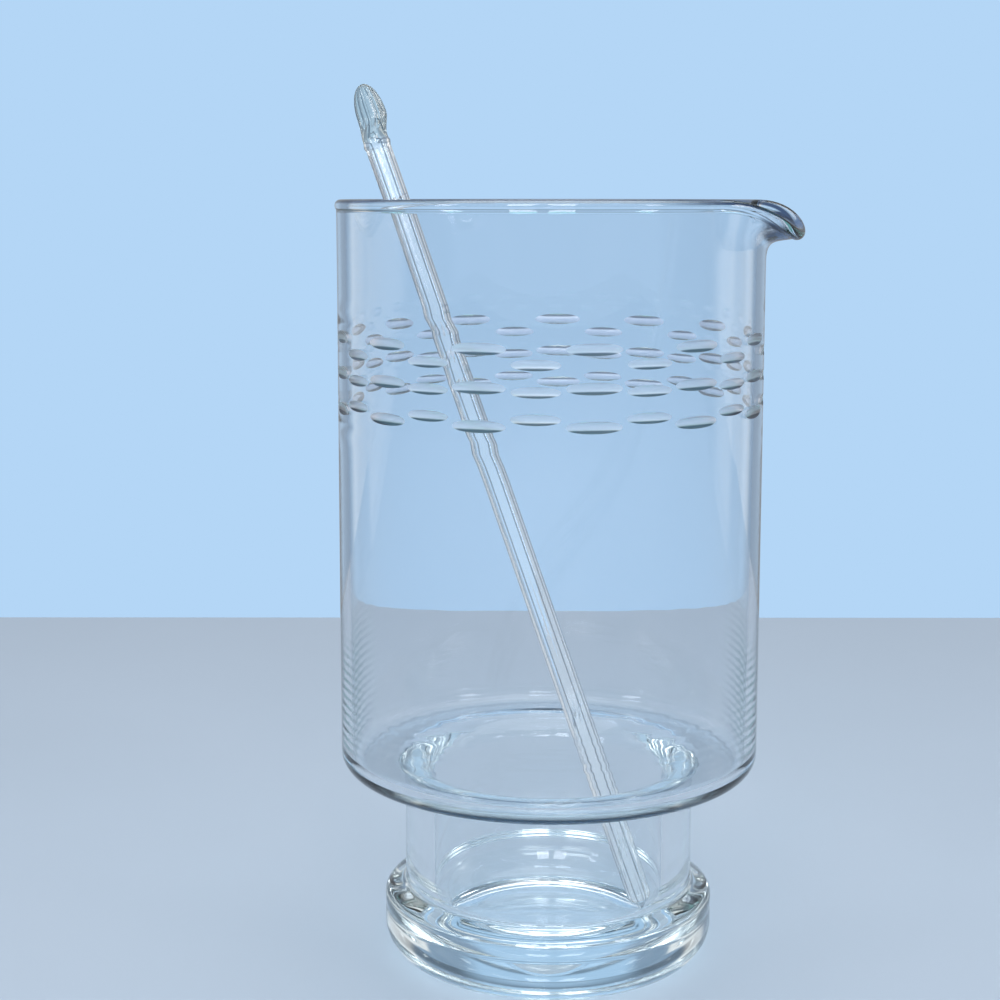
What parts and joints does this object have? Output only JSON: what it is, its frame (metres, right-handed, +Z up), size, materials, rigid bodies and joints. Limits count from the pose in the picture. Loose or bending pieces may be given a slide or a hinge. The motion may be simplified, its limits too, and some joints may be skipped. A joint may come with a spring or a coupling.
{
  "type": "cocktail pitcher",
  "caption": "Clear glass cocktail pitcher: a straight wide bowl with a pulled spout and a frieze of oval cuts on a narrow neck and heavy rounded foot, with a loose fluted glass stirrer.",
  "frame": {"origin": "centre of the foot's flat underside", "axes": "+Z up through the rim, +X out of the spout, and the stirrer leans back from the spout"},
  "size_m": [0.1375, 0.121, 0.2526],
  "materials": {
    "clear_glass": "clear, fire-polished, with satin wheel cuts",
    "foot_glass": "clear, polished, solid",
    "stirrer_glass": "clear, fire-polished"
  },
  "bodies": {
    "pitcher": {"bowl": "clear_glass", "foot": "foot_glass"},
    "stirrer": {"stirrer_rod": "stirrer_glass", "stirrer_head": "stirrer_glass"}
  },
  "joints": [
    {"name": "stirrer_lift", "type": "slide", "parent": "pitcher", "child": "stirrer", "axis": [-0.3602, 0.0232, 0.9326], "range_m": [0, 0.24]}
  ]
}
